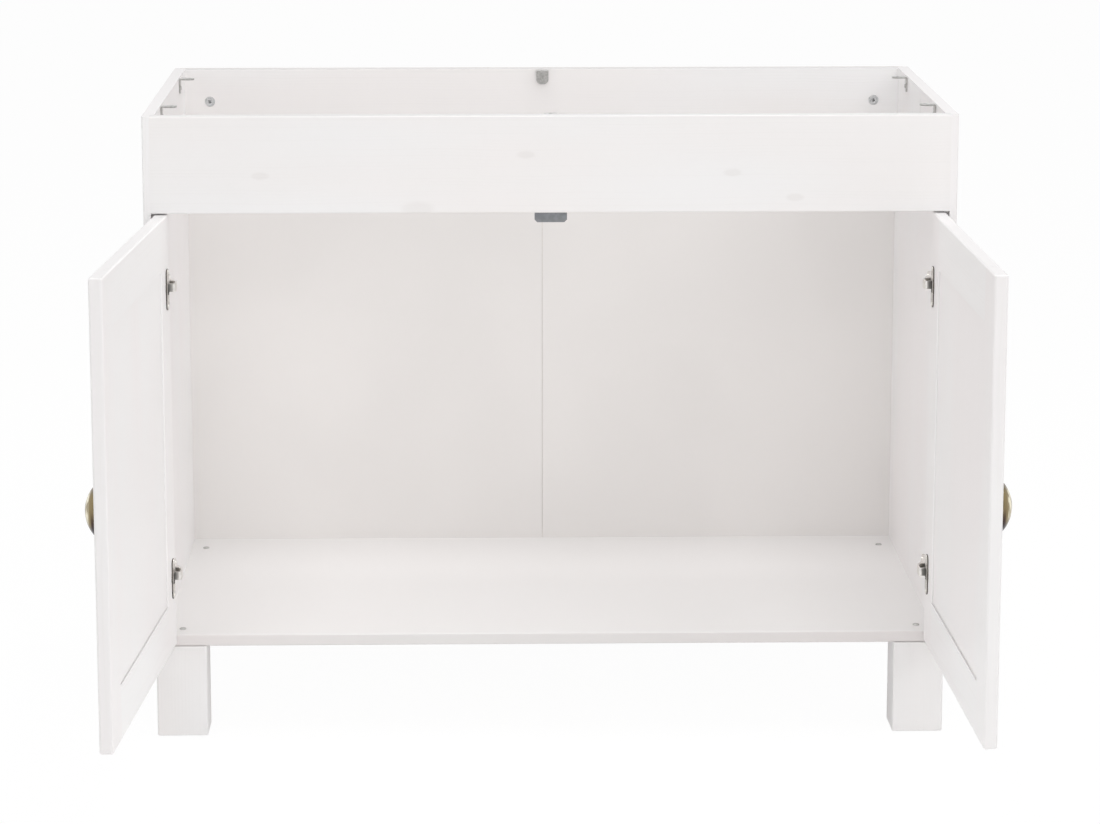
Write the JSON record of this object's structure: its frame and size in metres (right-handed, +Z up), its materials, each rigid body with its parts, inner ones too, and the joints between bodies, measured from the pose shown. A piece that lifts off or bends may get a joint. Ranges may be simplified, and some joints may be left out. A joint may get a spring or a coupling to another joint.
{
  "type": "sink base cabinet",
  "caption": "Open-topped white kitchen base unit on square legs, with framed doors on concealed hinges and shell pulls, made to carry a worktop with a sink.",
  "frame": {"origin": "on the floor, in the middle of the carcass's footprint, half way between its sides and between its front and rear edges", "axes": "+X to the right seen from the front, along the length; +Y from the doors to the wall; +Z up"},
  "size_m": [1.154, 1.1161, 0.87],
  "materials": {
    "lacquered_pine": "white lacquer, satin, with a faint grain",
    "hardboard": "white painted hardboard, matt",
    "beech": "plain, fluted dowels",
    "zinced_steel": "bright zinc plate",
    "nickelled_steel": "nickel plate, pressed sheet",
    "antique_brass": "brushed antique brass with darkened edges",
    "glide_plastic": "nailed glide",
    "joint_tape": "thin white tape"
  },
  "bodies": {
    "carcass": {"back_joint_tape": "joint_tape", "back_panel_left": "hardboard", "back_panel_nails": "zinced_steel", "back_panel_right": "hardboard", "back_rail": "lacquered_pine", "bottom_panel": "lacquered_pine", "bracket_screws": "zinced_steel", "cam_bolts": "zinced_steel", "cam_locks": "zinced_steel", "door_stop_plate": "zinced_steel", "dowels": "beech", "foot_glides": "glide_plastic", "front_rail": "lacquered_pine", "hinge_arm_lower_left": "nickelled_steel", "hinge_arm_lower_right": "nickelled_steel", "hinge_arm_screws": "nickelled_steel", "hinge_arm_upper_left": "nickelled_steel", "hinge_arm_upper_right": "nickelled_steel", "hinge_plate_lower_left": "nickelled_steel", "hinge_plate_lower_right": "nickelled_steel", "hinge_plate_screws": "nickelled_steel", "hinge_plate_upper_left": "nickelled_steel", "hinge_plate_upper_right": "nickelled_steel", "leg_back_left": "lacquered_pine", "leg_back_right": "lacquered_pine", "leg_bolts": "zinced_steel", "leg_front_left": "lacquered_pine", "leg_front_right": "lacquered_pine", "side_panel_left": "lacquered_pine", "side_panel_right": "lacquered_pine", "stop_screws": "zinced_steel", "worktop_bracket_left_back": "zinced_steel", "worktop_bracket_left_front": "zinced_steel", "worktop_bracket_rail_back": "zinced_steel", "worktop_bracket_rail_front": "zinced_steel", "worktop_bracket_right_back": "zinced_steel", "worktop_bracket_right_front": "zinced_steel"},
    "door_left": {"door_left_bottom_rail": "lacquered_pine", "door_left_cup_screws": "nickelled_steel", "door_left_free_stile": "lacquered_pine", "door_left_hinge_cup_lower": "nickelled_steel", "door_left_hinge_cup_upper": "nickelled_steel", "door_left_hinge_pins": "nickelled_steel", "door_left_hinge_stile": "lacquered_pine", "door_left_panel": "lacquered_pine", "door_left_pull": "antique_brass", "door_left_pull_screws": "antique_brass", "door_left_top_rail": "lacquered_pine"},
    "door_right": {"door_right_bottom_rail": "lacquered_pine", "door_right_cup_screws": "nickelled_steel", "door_right_free_stile": "lacquered_pine", "door_right_hinge_cup_lower": "nickelled_steel", "door_right_hinge_cup_upper": "nickelled_steel", "door_right_hinge_pins": "nickelled_steel", "door_right_hinge_stile": "lacquered_pine", "door_right_panel": "lacquered_pine", "door_right_pull": "antique_brass", "door_right_pull_screws": "antique_brass", "door_right_top_rail": "lacquered_pine"}
  },
  "joints": [
    {"name": "door_left_hinge", "type": "hinge", "parent": "carcass", "child": "door_left", "pos_m": [-0.5268, -0.2908, 0.435], "axis": [0, 0, -1], "range_deg": [-94.2, 15.8]},
    {"name": "door_right_hinge", "type": "hinge", "parent": "carcass", "child": "door_right", "pos_m": [0.5268, -0.2908, 0.435], "axis": [0, 0, 1], "range_deg": [-91.2, 18.8]}
  ]
}
